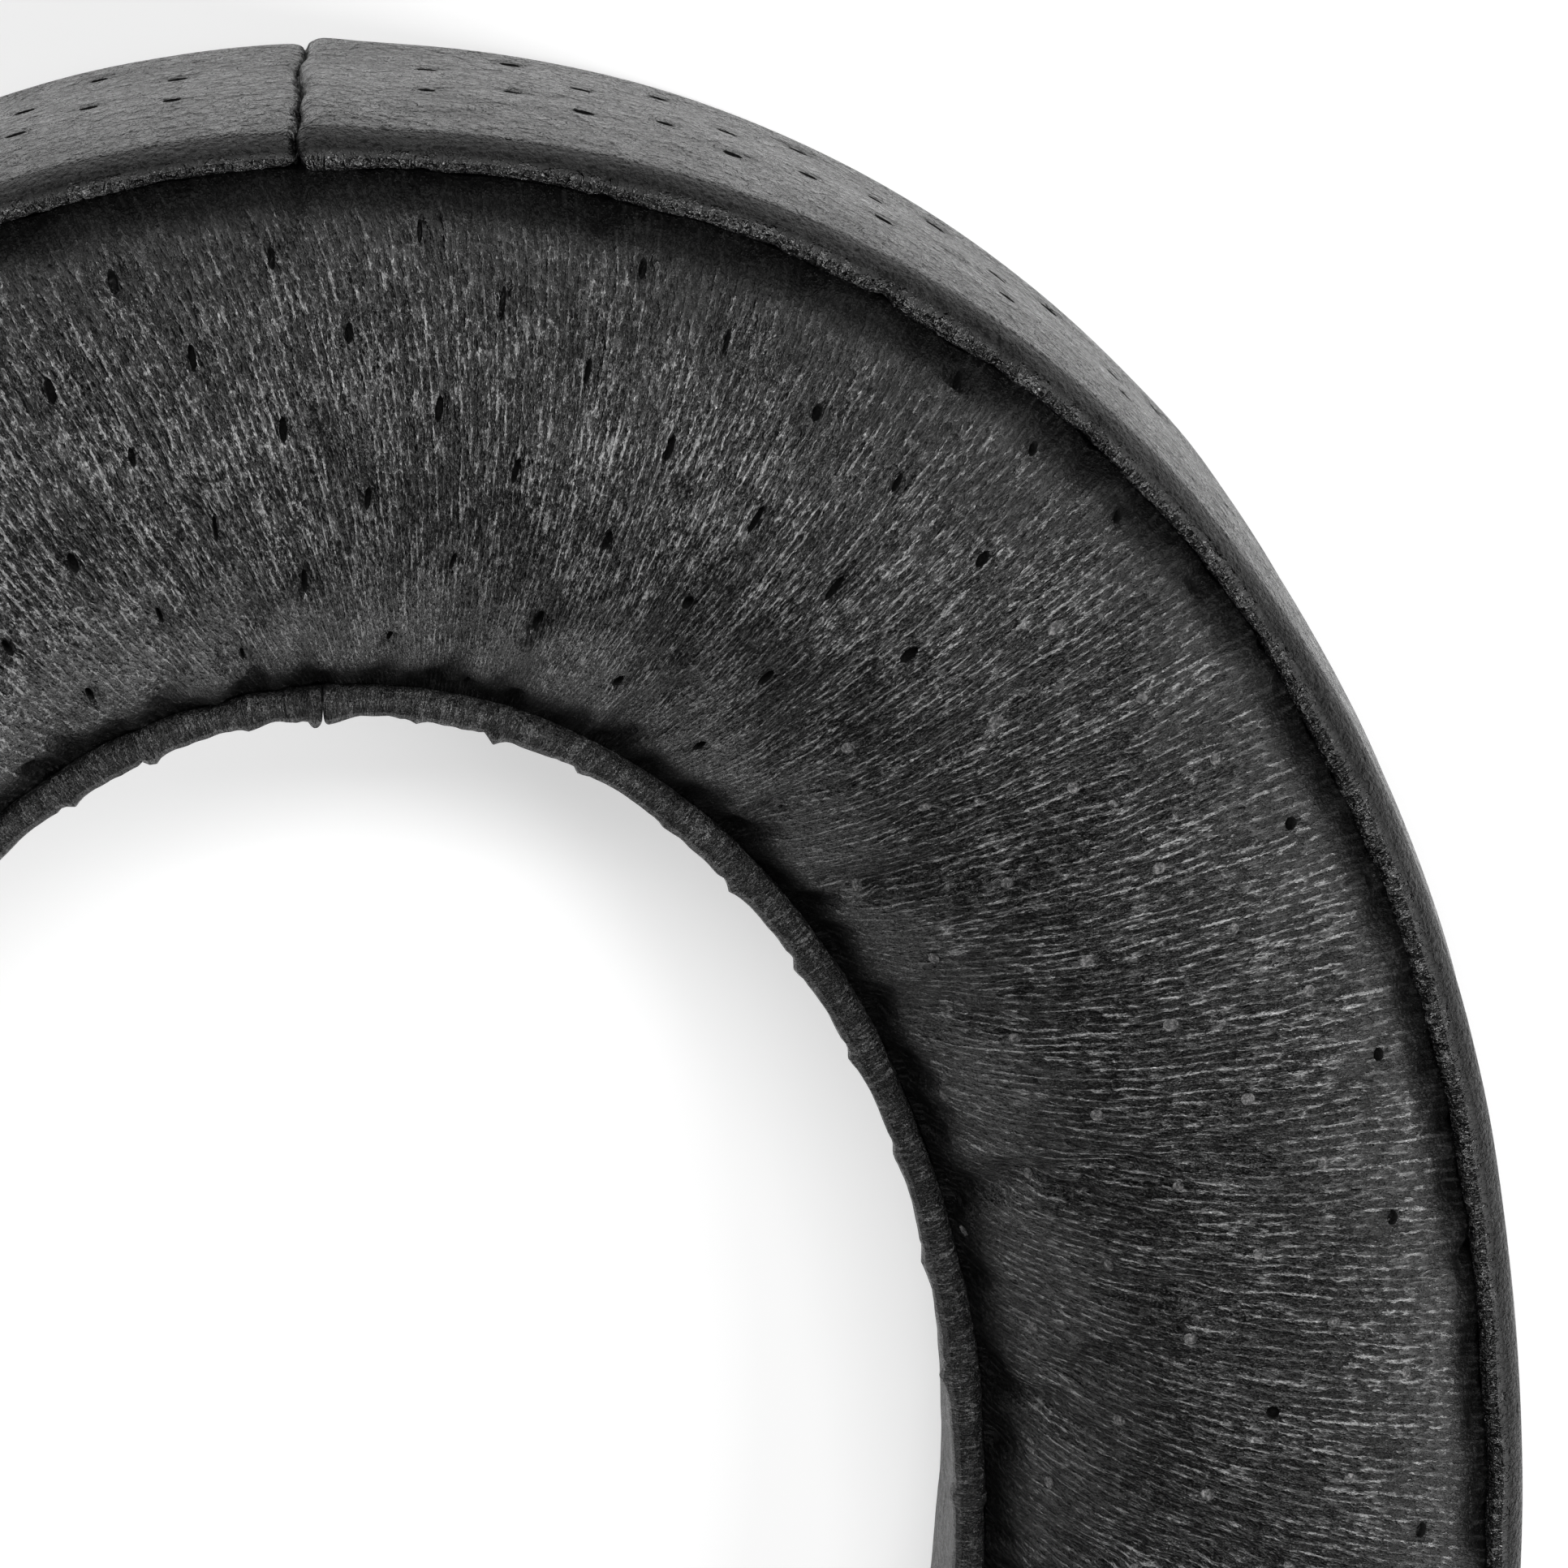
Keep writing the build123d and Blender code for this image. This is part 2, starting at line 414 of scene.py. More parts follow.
def swelling(u, v):
    """Cloth simulation of the face leather, sewn down at both rims and pushed out by its foam.

    Gives how far it stands off its section's shape at distances u round and v across, in mm.
    """
    line, along = resample(FACE_RUNS[1], SWELL_STEP)
    under = chain([line[-1]], [(INNER_SEAM, SWELL_FLOOR), (OUTER_SEAM, SWELL_FLOOR)], [line[0]])
    rows = np.concatenate([line, resample(under, 3.0)[0][1:-1]])
    columns = int(ROUND / SWELL_STEP)
    at = np.linspace(0, ROUND, columns + 1)[:-1]
    full = place(turns_at(at)[:, None], rows[None, :, 0], rows[None, :, 1])
    normals = surface_normals(full, True)
    free = np.zeros(len(rows), bool)
    free[1 : len(line) - 1] = True
    wobble = np.random.default_rng(61).uniform(-0.06, 0.06, full.shape[:2])
    start = full + normals * ((wobble - SWELL_START) * free)[..., None]

    tube = Tube(start * SWELL_SCALE / MM, True)
    skin = tube.build("swelling_leather", [], {})
    held = skin.vertex_groups.new(name="held")
    sewn = np.flatnonzero(~free).tolist()
    held.add([tube.index(i, j) for i in range(columns) for j in sewn], 1.0, "REPLACE")
    cloth = skin.modifiers.new("Cloth", "CLOTH")
    cloth.collision_settings.use_collision = False
    cloth.point_cache.frame_end = SWELL_FRAMES
    settings = cloth.settings
    settings.quality = 6
    settings.mass = 0.2
    settings.tension_stiffness = settings.compression_stiffness = 12
    settings.shear_stiffness = 4
    settings.bending_stiffness = 0.05
    settings.vertex_group_mass = held.name
    settings.use_pressure = True
    settings.uniform_pressure_force = 4
    settings.shrink_min = settings.shrink_max = -0.03
    settings.effector_weights.gravity = 0
    scene = bpy.context.scene
    for f in range(1, SWELL_FRAMES + 1):
        scene.frame_set(f)
    result = skin.evaluated_get(bpy.context.evaluated_depsgraph_get()).to_mesh()
    flat = np.empty(len(result.vertices) * 3, np.float32)
    result.vertices.foreach_get("co", flat)
    scene.frame_set(1)
    bpy.data.objects.remove(skin)
    moved = flat.reshape(full.shape) / SWELL_SCALE - full
    off = np.clip((moved * normals).sum(-1), -SWELL_CAP, SWELL_CAP)[:, : len(line)]

    last = len(line) - 1
    return soft_lookup(off, u / ROUND * columns, np.clip(v / along[-1] * last, 0, last - 0.001))


def perforations(flat):
    """Grid places of the perforations, nearest to the punched pattern's spots in plan, flat's x and y."""
    low, high = flat.reshape(-1, 2).min(0), flat.reshape(-1, 2).max(0)
    basis = np.stack([PUNCH_A, PUNCH_B], axis=1)
    reach = int(np.abs(np.linalg.solve(basis, np.array([low - PUNCH_AT, high - PUNCH_AT]).T)).max() * 2)
    for a in range(-reach, reach + 1):
        for b in range(-reach, reach + 1):
            spot = PUNCH_AT + a * PUNCH_A + b * PUNCH_B
            gap = np.hypot(flat[..., 0] - spot[0], flat[..., 1] - spot[1])
            k = int(gap.argmin())
            if gap.flat[k] < HOLE_SNAP:
                yield k // flat.shape[1], k % flat.shape[1]


def face_panel(slots):
    """The crowned, perforated leather that meets the head."""
    rows, v, shown = section_rows(FACE_RUNS, visible={1}, step=CROSS, hidden_step=2.2)
    v = v - v[shown][0] - SEAM_SINK
    span = v[shown][-1] - RIM_SINK
    u, turn = ALONG[:-1, None], TURNS[:-1, None]
    r, h = rows[None, :, 0], rows[None, :, 1]
    near_seam = np.where(shown, 1 - smooth_step(v, 0.2, 2.5), (r[0] > 0) * 1.0)
    r = r + seam_wander(u) * near_seam
    p = place(turn, r, h)
    n = surface_normals(p, True)
    skin = shown[None, :] & (v[None, :] > -0.3) & (v[None, :] < span + 0.2)
    uu, vv = np.broadcast_arrays(u, v[None, :])

    # where the face is eased into the outer seam, least round the tight ends of the oval
    def at_sides(places):
        return 0.35 + 0.65 * np.abs(np.cos(turns_at(places))) ** 0.7

    d = -gathers(
        uu, vv, 2.35, 0.35, 5, depth=(0.08, 0.36), width=(0.16, 0.34),
        length=(1.6, 4.2), bend=(-0.35, 0.15), share=at_sides,
    )
    # finer ones at the opening's seam
    d -= gathers(
        uu, vv, 1.9, 0.4, 6, depth=(0.02, 0.12), width=(0.14, 0.3),
        length=(1.2, 3.6), bend=(-0.3, 0.3), start=span,
    )
    # one crease that carries on from the wall's butt seam
    d -= creases(
        uu, vv, [0.1, 0.55, ROUND - 1.9], depth=[0.34, 0.12, 0.14], width=[0.16, 0.3, 0.2],
        length=[4.4, 6.0, 3.0], bend=[-0.05, -0.16, 0.1],
    )
    # soft unevenness of the foam, and the larger of the wrinkles
    d += 0.10 * uneven(uu, vv, 7.5, 6.0, 7) + 0.05 * uneven(uu, vv, 3.1, 4.5, 8)
    drift = uu + wrinkle_slant(turn) * vv + 0.8 * uneven(uu, vv, 9.0, 5.0, 9)
    wrinkle = uneven(drift % ROUND, vv, 1.25, 4.0, 10)
    d += 0.018 * (1 - 2 * np.abs(wrinkle)) * smooth_step(vv, 1.0, 4.0)
    d += swelling(uu, vv)

    # Perforations. The tight ends are stretched hardest across, which draws them out into slits.
    seen = np.flatnonzero(shown & (v > 0.9) & (v < span - 0.6))
    pick = np.random.default_rng(12)
    holes = []
    for i, j in perforations(p[:, seen, :2]):
        stretch = smooth_step(abs(math.sin(TURNS[i])), 0.62, 0.92) * pick.uniform(0.6, 1.1)
        half_u = HOLE * (1 - 0.55 * stretch) * pick.uniform(0.75, 1.05)
        half_v = HOLE * (1 + 0.95 * stretch) * pick.uniform(0.8, 1.15)
        lint = stretch < 0.5 and rows[seen[j], 0] < 7.5 and pick.random() < 0.9
        depth, plug = (0.07, pick.uniform(0.05, 0.11)) if lint else (0.5, 0.0)
        holes.append((i, seen[j], half_u, half_v, depth, plug))
        if stretch > 0.3:
            near = np.abs(round_gap(u[:, 0], ALONG[i])) < 3
            up = vv[near] - v[seen[j]]
            gap = round_gap(uu[near], ALONG[i]) + 0.3 * up
            d[near] -= 0.14 * stretch * np.exp(-((gap / 0.3) ** 2) - (up / 1.5) ** 2)
    p = p + n * (d * skin)[..., None]

    tube = Tube(p, True)
    n = surface_normals(p, True)
    for i, j, half_u, half_v, depth, plug in holes:
        tube.punch(i, j, n[i, j], half_u, half_v, depth, plug)
    taut = 1 - smooth_step(vv, 1.6, 3.2) * (1 - smooth_step(vv, span - 3.6, span - 1.6))
    made = tube.build(
        "face_panel_leather", slots,
        {"strip": strip_coordinates(TURNS[:-1], v, True), "taut": taut},
    )
    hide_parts("face_panel")
    return made


# ------------ outer band

BASE_Z = LIP_THICKNESS
BUTT_EDGE = 0.04  # half the gap at a band's butt seam
SHOULDER_H = BEAD_H - 0.9  # where the wall starts to fold over into the bead
BAND_RUNS = [
    bezier(
        (WALL_BASE, BASE_Z), (WALL_BASE + 0.1, 6.5), (WALL_BULGE + 0.35, 11.0), (WALL_TOP, SHOULDER_H), 60
    ),
    chain(
        bezier(
            (WALL_TOP, SHOULDER_H), (WALL_TOP, BEAD_H - 0.25),
            (OUTER_SEAM + 0.95, BEAD_H + 0.45), (OUTER_SEAM + 0.5, BEAD_H + 0.58), 24,
        ),
        arc((OUTER_SEAM + 0.4, BEAD_H + 0.2), 0.4, 75, 180, 10),
        [(OUTER_SEAM, BEAD_H - 0.5)],
    ),
    [(OUTER_SEAM, BEAD_H - 0.5), (OUTER_SEAM, TAIL_H)],
    [(OUTER_SEAM, TAIL_H), (WALL_TOP - LEATHER, TAIL_H)],
    [(WALL_TOP - LEATHER, TAIL_H), (WALL_BULGE - LEATHER, 10.5), (WALL_BASE - LEATHER, BASE_Z)],
    [(WALL_BASE - LEATHER, BASE_Z), (WALL_BASE, BASE_Z)],
]
WALL_HALF_U, WALL_HALF_V = 2.9, 3.4  # half the pitch of the wall's staggered perforations
WALL_START_U, WALL_START_V = -1.1, -1.2  # where their grid starts
WALL_HOLE_U, WALL_HOLE_V = 0.42, 0.33  # half of their largest size


def butt_columns():
    """Distances round the pad of a band's columns, closer together beside its butt seam."""
    fine = np.array([0.0, 0.04, 0.1, 0.18, 0.28, 0.4, 0.54, 0.7]) + BUTT_EDGE
    middle = np.linspace(fine[-1] + 0.25, ROUND - fine[-1] - 0.25, COLUMNS - 6)
    return np.concatenate([fine, middle, ROUND - fine[::-1]])


def butt_roll(u, radius, left, right):
    """Inward turn of the leather's cut edges at the butt seam, and the fullness beside it."""
    s = np.minimum(u, ROUND - u) - BUTT_EDGE
    roll = radius - np.sqrt(np.maximum(radius**2 - np.clip(radius - s, 0, radius) ** 2, 0))
    full = np.where(u < ROUND / 2, left, right) * np.exp(-((s / 1.5) ** 2))
    return full - roll


def outer_band(slots):
    """The perforated leather round the outside, folded over into a bead beside the outer seam."""
    rows, v, shown = section_rows(BAND_RUNS, visible={0, 1}, step=CROSS, hidden_step=3.0)
    columns = butt_columns()
    u, turn = columns[:, None], turns_at(columns)[:, None]
    r, h = rows[None, :, 0], rows[None, :, 1]
    lean = np.clip((h - BASE_Z) / (BEAD_H - BASE_Z), 0, 1)
    on_seam = smooth_step(h, 15.5, 18.0) * (1 - smooth_step(r, OUTER_SEAM + 0.5, WALL_TOP - 0.1))
    p = place(turn, r + seam_wander(u) * on_seam, h, lean)
    n = surface_normals(p, False)
    wall_top = v[shown][-1]
    uu, vv = np.broadcast_arrays(u, v[None, :])
    bead_v = resample(np.array(BAND_RUNS[0]), CROSS)[1][-1]
    on_wall = 1 - smooth_step(vv, bead_v - 1.5, bead_v)
    past_shoulder = smooth_step(vv, bead_v + 1.45, bead_v + 1.85)
    on_bead = past_shoulder * (vv < wall_top)
    taut = smooth_step(vv, bead_v - 0.2, bead_v + 0.4) * (1 - past_shoulder)

    d = 0.13 * uneven(uu, vv, 9.0, 6.0, 21) + 0.04 * uneven(uu, vv, 3.0, 2.2, 22)
    d += 0.03 * uneven(uu, vv, 4.5, 0.8, 23) * on_wall
    d += smooth_step(vv, bead_v + 0.9, bead_v + 1.8) * (
        0.035 * uneven(uu, vv, 0.75, 1.6, 24) + 0.05 * uneven(uu, vv, 2.6, 2.0, 25)
    )
    d -= gathers(
        uu, vv, 3.9, 0.3, 26, depth=(0.05, 0.22), width=(0.12, 0.25),
        length=(0.9, 1.7), bend=(-0.3, 0.3), start=wall_top - 0.3,
    )
    d += butt_roll(uu, 0.42, -0.03, 0.22)
    outside = shown[None, :] | (h < BASE_Z + 0.01)
    p = p + n * (d * outside)[..., None]
    # the butt seam itself wanders a little from side to side
    by_seam = np.exp(-((np.minimum(uu, ROUND - uu) / 1.2) ** 2))
    wander = 0.14 * uneven(0 * uu, vv, 1, 1.7, 28) + 0.05 * uneven(0 * uu, vv, 1, 0.6, 29)
    p[..., 0] += by_seam * wander

    tube = Tube(p, False)
    n = surface_normals(p, False)
    wall_row, clear_columns, levels = 20, 9, 5
    step = np.hypot(*np.diff(p[:, wall_row, :2], axis=0).T)
    length = np.concatenate([[0], np.cumsum(step)])
    pick = np.random.default_rng(27)
    for a in range(1, int(length[-1] / WALL_HALF_U)):
        i = int(np.abs(length - (a * WALL_HALF_U + WALL_START_U)).argmin())
        by_butt = min(i, len(columns) - 1 - i) < clear_columns
        for b in range(1, levels + 1):
            height = b * WALL_HALF_V + WALL_START_V
            j = int(np.abs(v - height)[: len(v) // 2].argmin())
            if (a + b) % 2 or by_butt or height > bead_v - 0.9:
                continue
            size = pick.uniform(0.8, 1.08)
            tube.punch(i, j, n[i, j], WALL_HOLE_U * size, WALL_HOLE_V * size, depth=0.5, plug=0.0)
    made = tube.build(
        "outer_band_leather", slots,
        {"strip": strip_coordinates(turns_at(columns), v), "edge": on_bead, "taut": taut},
    )
    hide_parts("outer_band")
    return made


# ------------ inner band

TURN_Z = BACK_Z - LINING
LINING_RUNS = [
    [(INNER_SEAM, INNER_TAIL_H), (INNER_SEAM, RIM_H - 0.5)],
    chain([(INNER_SEAM, RIM_H - 0.5)], arc((INNER_SEAM - LINING, RIM_H), LINING, 0, 180, 20)),
    [(OPENING, RIM_H), (OPENING, TURN_Z + 0.3)],
    chain(arc((OPENING + 0.3, TURN_Z + 0.3), 0.3, 180, 270, 6), [(OPENING + TURN_IN, TURN_Z)]),
    [(OPENING + TURN_IN, TURN_Z), (OPENING + TURN_IN, BACK_Z)],
    [(OPENING + TURN_IN, BACK_Z), (OPENING + LINING, BACK_Z)],
    [(OPENING + LINING, BACK_Z), (OPENING + LINING, INNER_TAIL_H)],
    [(OPENING + LINING, INNER_TAIL_H), (INNER_SEAM, INNER_TAIL_H)],
]


def inner_band(slots):
    """The thin lining of the opening, with a folded rim and its low edge turned under."""
    rows, v, shown = section_rows(LINING_RUNS, visible={1, 2, 3}, step=0.3, hidden_step=2.5)
    columns = butt_columns()
    u, turn = columns[:, None], turns_at(columns)[:, None]
    r, h = rows[None, :, 0], rows[None, :, 1]
    s = np.minimum(u, ROUND - u)
    peak = 0.55 * np.exp(-((s / 2.0) ** 2)) * smooth_step(h, 9.0, 12.0)
    lean = np.clip((h - TURN_Z) / (RIM_H - TURN_Z), 0, 1)
    p = place(turn, r, h + peak, lean)
    n = surface_normals(p, False)
    uu, vv = np.broadcast_arrays(u, v[None, :])
    on_rim = smooth_step(h, RIM_H - 2.2, RIM_H - 0.2) * (r < INNER_SEAM - 0.05)

    # the seam is stitched at points, between which the rim runs nearly straight
    places, pick = spaced_places(5.4, 0.12, 31)
    d = 0.10 * uneven(uu, vv, 6.0, 5.0, 32) + 0.05 * uneven(uu, vv, 1.1, 1.4, 33)
    for at in places:
        gap = round_gap(uu, at)
        size = pick.uniform(0.04, 0.16)
        nub = np.exp(-((gap / 0.32) ** 2)) - 0.9 * np.exp(-(((gap - 0.62) / 0.26) ** 2))
        d += on_rim * size * nub + on_rim * 0.10 * np.exp(-((gap / 1.6) ** 2))
    d += on_rim * 0.025 * uneven(uu, vv, 0.6, 0.6, 34)
    d += butt_roll(uu, 0.3, 0.05, 0.10)
    p = p + n * (d * (shown[None, :] & (h > TURN_Z + 0.05)))[..., None]
    made = Tube(p, False).build(
        "inner_band_leather", slots,
        {"strip": strip_coordinates(turns_at(columns), v), "edge": on_rim + 0 * uu},
    )
    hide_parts("inner_band")
    return made


# ------------ mounting side

RING_COLUMNS = 420


def plain_ring(name, runs, visible, node, material, move):
    """A flat closed ring of soft material; move(u, v, r) gives how far its points are shifted in z."""
    rows, v, _ = section_rows(runs, visible, step=0.6, hidden_step=2.5)
    at = np.linspace(0, ROUND, RING_COLUMNS + 1)[:-1]
    u, turn = at[:, None], turns_at(at)[:, None]
    r, h = rows[None, :, 0], rows[None, :, 1]
    p = place(turn, r + 0 * u, h, 0.0)
    uu, vv = np.broadcast_arrays(u, v[None, :])
    p[..., 2] += move(uu, vv, r)
    made = Tube(p, True).build(name, [material], {"strip": strip_coordinates(turns_at(at), v)})
    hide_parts(node)
    return made


def box_runs(r_low, r_high, z_low, z_high, e):
    """Runs of a flat ring's section, with its long edges rounded to radius e, outer side first."""
    out, into, low, high = r_high - e, r_low + e, z_low + e, z_high - e
    outer = chain(arc((out, low), e, -90, 0, 5), arc((out, high), e, 0, 90, 5))
    inner = chain(arc((into, high), e, 90, 180, 5), arc((into, low), e, 180, 270, 5))
    return [outer, [(out, z_high), (into, z_high)], inner, [(into, z_low), (out, z_low)]]


def mounting_lip(material):
    """The stretch skirt that is pulled over the ear cup's flange, loose at its free edge."""
    free = WALL_BASE - LIP_WIDTH

    def ripple(u, v, r):
        loose = 1 - smooth_step(r, free, free + 6.0)
        wave = 0.5 + 0.5 * uneven(u, 0 * v, 4.4, 1, 51)
        return loose * 0.36 * wave + 0.02 * uneven(u, v, 1.7, 3.0, 52) * (r < 9.0)

    runs = box_runs(free, WALL_BASE - 0.1, 0.0, LIP_THICKNESS, 0.25)
    return plain_ring(
        "mounting_lip_leatherette", runs, {0, 1, 2, 3}, "mounting_lip", material, ripple
    )


def back_panel(material):
    """The flat backing that closes the mounting side."""
    def sag(u, v, r):
        return 0.10 * uneven(u, v, 8.0, 6.0, 53) * (r < 8.0) * (r > -7.0)

    runs = box_runs(OPENING + LINING + 0.1, WALL_BASE - LEATHER - 0.1, BACK_Z, BACK_Z + BACKING, 0.2)
    return plain_ring("back_panel_fabric", runs, {3}, "back_panel", material, sag)


# The foam is narrower above the leathers' tails, which it has to clear.
FOAM_OUT, FOAM_IN = 10.55, -9.5
NECK_OUT, NECK_IN = 9.25, -8.15
FOAM_TOP = 21.3
FOAM_COLUMNS = 360
FOAM_RUNS = [
    [(FOAM_OUT, FOAM_Z), (FOAM_OUT, 13.4)],
    [(FOAM_OUT, 13.4), (NECK_OUT, 13.9), (NECK_OUT, 17.8)],
    chain(
        bezier((NECK_OUT, 17.8), (9.2, 19.6), (6.6, FOAM_TOP), (CROWN_R, FOAM_TOP), 20),
        bezier((CROWN_R, FOAM_TOP), (-2.0, 20.9), (-5.8, 15.8), (NECK_IN, 12.3), 24),
    ),
    [(NECK_IN, 12.3), (NECK_IN, 9.8), (FOAM_IN, 9.5)],
    [(FOAM_IN, 9.5), (FOAM_IN, FOAM_Z)],
    [(FOAM_IN, FOAM_Z), (FOAM_OUT, FOAM_Z)],
]


def foam_core(material):
    """The ring of foam, flat below and leaned over at the top like the face."""
    rows, v, _ = section_rows(FOAM_RUNS, visible={2}, step=0.7, hidden_step=1.4)
    at = np.linspace(0, ROUND, FOAM_COLUMNS + 1)[:-1]
    u, turn = at[:, None], turns_at(at)[:, None]
    r, h = rows[None, :, 0], rows[None, :, 1]
    lean = np.clip((h - FOAM_Z) / (14.0 - FOAM_Z), 0, 1)
    p = place(turn, r + 0 * u, h, lean)
    uu, vv = np.broadcast_arrays(u, v[None, :])
    n = surface_normals(p, True)
    rough = 0.05 * uneven(uu, vv, 1.4, 1.4, 54) - 0.05
    p = p + n * rough[..., None]
    made = Tube(p, True).build("foam_core_foam", [material], {"strip": strip_coordinates(turns_at(at), v)})
    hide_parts("foam_core")
    return made


# ------------ threads

THREAD_RADIUS = 0.11


def stitch_points(a, b, dip):
    """A stitch from a to b in mm: a short round thread whose ends dive along dip. Points and faces."""
    sides = rings = 7
    a, b, dip = (np.array(x, float) for x in (a, b, dip))
    ahead = (b - a) / np.linalg.norm(b - a)
    side = np.cross(ahead, dip)
    side /= np.linalg.norm(side)
    points, faces = [], []
    for k in range(rings):
        t = k / (rings - 1)
        centre = a + (b - a) * t + dip * (2 * t - 1) ** 4
        waist = THREAD_RADIUS * (0.82 + 0.18 * math.sin(math.pi * t))
        for m in range(sides):
            w = 2 * math.pi * m / sides
            points.append(centre + waist * (side * math.cos(w) + np.cross(side, ahead) * math.sin(w)))
    for k in range(rings - 1):
        for m in range(sides):
            n = (m + 1) % sides
            faces.append((k * sides + m, k * sides + n, (k + 1) * sides + n, (k + 1) * sides + m))
    faces.append(tuple(reversed(range(sides))))
    faces.append(tuple((rings - 1) * sides + m for m in range(sides)))
    return points, faces


def sew(name, node, material, stitches):
    """One object of many stitches, each given by its two end points and the way its ends dive."""
    points, faces = [], []
    for a, b, dip in stitches:
        p, f = stitch_points(a, b, dip)
        base = len(points)
        points += p
        faces += [tuple(base + i for i in face) for face in f]
    made = make_object(name, points, faces, [material])
    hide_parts(node)
    return made


def ring_stitches(r, h, lean, pitch, share, dive):
    """Stitches round the pad, each a share of the pitch long, with ends that go up by dive."""
    n = int(ROUND / pitch)
    stitches = []
    for k in range(n):
        ends = np.array([k, k + share]) * ROUND / n
        a, b = place(turns_at(ends), r, h, lean)
        stitches.append((a, b, np.array([0, 0, dive])))
    return stitches


def butt_stitches(r, z_low, z_high):
    """Stitches that close a band behind its butt seam at +Y."""
    y, half, climb, pitch = OVAL_Y + r, 0.5, 0.4, 1.6
    dip = np.array([0, 0.3, 0])
    return [((-half, y, z), (half, y, z + climb), dip) for z in np.arange(z_low, z_high, pitch)]


# ------------ materials

class Recipe:
    """One procedural material: its Principled shader, and short ways to add nodes in front of it."""

    def __init__(self, name):
        self.material = bpy.data.materials.new(name)
        self.material.use_nodes = True
        self.tree = self.material.node_tree
        self.shader = self.tree.nodes["Principled BSDF"]

    def add(self, kind, inputs=None, output=0, **settings):
        node = self.tree.nodes.new("ShaderNode" + kind)
        for key, value in settings.items():
            setattr(node, key, value)
        for key, value in (inputs or {}).items():
            if isinstance(value, bpy.types.NodeSocket):
                self.tree.links.new(value, node.inputs[key])
            else:
                node.inputs[key].default_value = value
        return node.outputs[output]

    def math(self, operation, a, b=0.0):
        return self.add("Math", {0: a, 1: b}, operation=operation)

    def times(self, a, b):
        return self.math("MULTIPLY", a, b)

    def plus(self, a, b):
        return self.math("ADD", a, b)

    def size(self, a):
        return self.math("ABSOLUTE", a)

    def split(self, vector):
        """The vector's x, y and z."""
        node = self.tree.nodes.new("ShaderNodeSeparateXYZ")
        self.tree.links.new(vector, node.inputs[0])
        return node.outputs

    def mix(self, a, b, factor):
        return self.add("Mix", {0: factor, 2: a, 3: b})

    def strip(self, scale):
        """The leather's own coordinates in mm, scaled."""
        place_on = self.add("Attribute", output="Vector", attribute_name="strip")
        return self.add("VectorMath", {0: place_on, 1: scale}, operation="MULTIPLY")

    def object_space(self, scale):
        """The piece's own coordinates, scaled from metres."""
        here = self.add("TexCoord", output="Object")
        return self.add("VectorMath", {0: here, 1: (scale, scale, scale)}, operation="MULTIPLY")

    def noise(self, vector, detail=2.0, roughness=0.5, distortion=0.0):
        inputs = {"Vector": vector, "Scale": 1.0, "Detail": detail}
        return self.add("TexNoise", inputs | {"Roughness": roughness, "Distortion": distortion})

    def cells(self, vector, feature="F1"):
        inputs = {"Vector": vector, "Scale": 1.0, "Randomness": 1.0}
        return self.add("TexVoronoi", inputs, output="Distance", feature=feature)

    def spread(self, value, low, high, to_low, to_high, kind="LINEAR"):
        inputs = {0: value, 1: low, 2: high, 3: to_low, 4: to_high}
        return self.add("MapRange", inputs, interpolation_type=kind)

    def ramp(self, value, *stops):
        """A colour ramp; each stop is a position with a colour, or a number for a grey."""
        node = self.tree.nodes.new("ShaderNodeValToRGB")
        self.tree.links.new(value, node.inputs[0])
        elements = node.color_ramp.elements
        while len(elements) < len(stops):
            elements.new(0.5)
        for element, (position, colour) in zip(elements, stops):
            element.position = position
            element.color = (*(colour if isinstance(colour, tuple) else (colour,) * 3), 1)
        return node.outputs[0]

    def bump(self, height, distance, strength=1.0, before=None):
        inputs = {"Strength": strength, "Distance": distance, "Height": height}
        if before:
            inputs["Normal"] = before
        return self.add("Bump", inputs)

    def finish(self, colour, roughness, normal, **constants):
        self.tree.links.new(colour, self.shader.inputs["Base Color"])
        self.tree.links.new(roughness, self.shader.inputs["Roughness"])
        self.tree.links.new(normal, self.shader.inputs["Normal"])
        for key, value in constants.items():
            self.shader.inputs[key.replace("_", " ")].default_value = value
        return self.material


